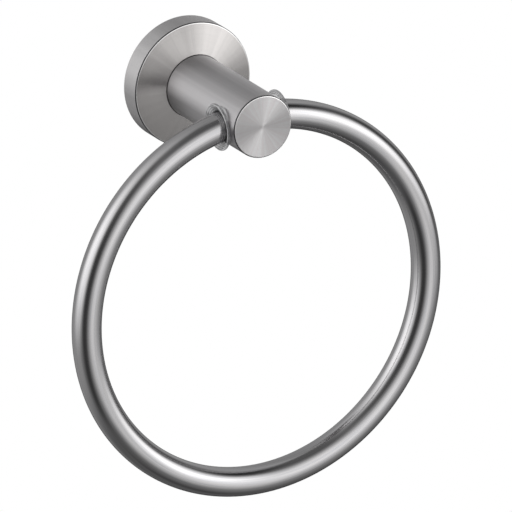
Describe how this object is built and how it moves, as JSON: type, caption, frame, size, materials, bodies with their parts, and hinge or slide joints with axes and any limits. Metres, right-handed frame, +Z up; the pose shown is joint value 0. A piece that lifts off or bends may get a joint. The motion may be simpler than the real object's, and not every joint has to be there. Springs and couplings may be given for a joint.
{
  "type": "towel ring",
  "caption": "Wall-mounted towel ring: round flange, solid round post, and an open hoop of tube that swings in two flanged clear bushings.",
  "frame": {"origin": "on the post's axis in the wall plane, at the centre of the bracket's back face", "axes": "+Y into the wall, +Z up, +X to the right for someone who faces the wall"},
  "size_m": [0.1594, 0.066, 0.1787],
  "materials": {
    "brushed_steel": "turned and brushed",
    "satin_steel": "fine satin, nearly polished",
    "clear_plastic": "clear, glossy",
    "plated_steel": "bright zinc plated"
  },
  "bodies": {
    "wall_mount": {"wall_flange": "brushed_steel", "post": "brushed_steel", "bushing_left": "clear_plastic", "bushing_right": "clear_plastic", "post_screw": "plated_steel", "wall_bracket": "plated_steel", "set_screw": "plated_steel"},
    "hoop": {"towel_hoop": "satin_steel"}
  },
  "joints": [
    {"name": "hoop_swing", "type": "hinge", "parent": "wall_mount", "child": "hoop", "pos_m": [0, -0.054, -0.00088], "axis": [-1, 0, 0], "range_deg": [-18, 198]}
  ]
}
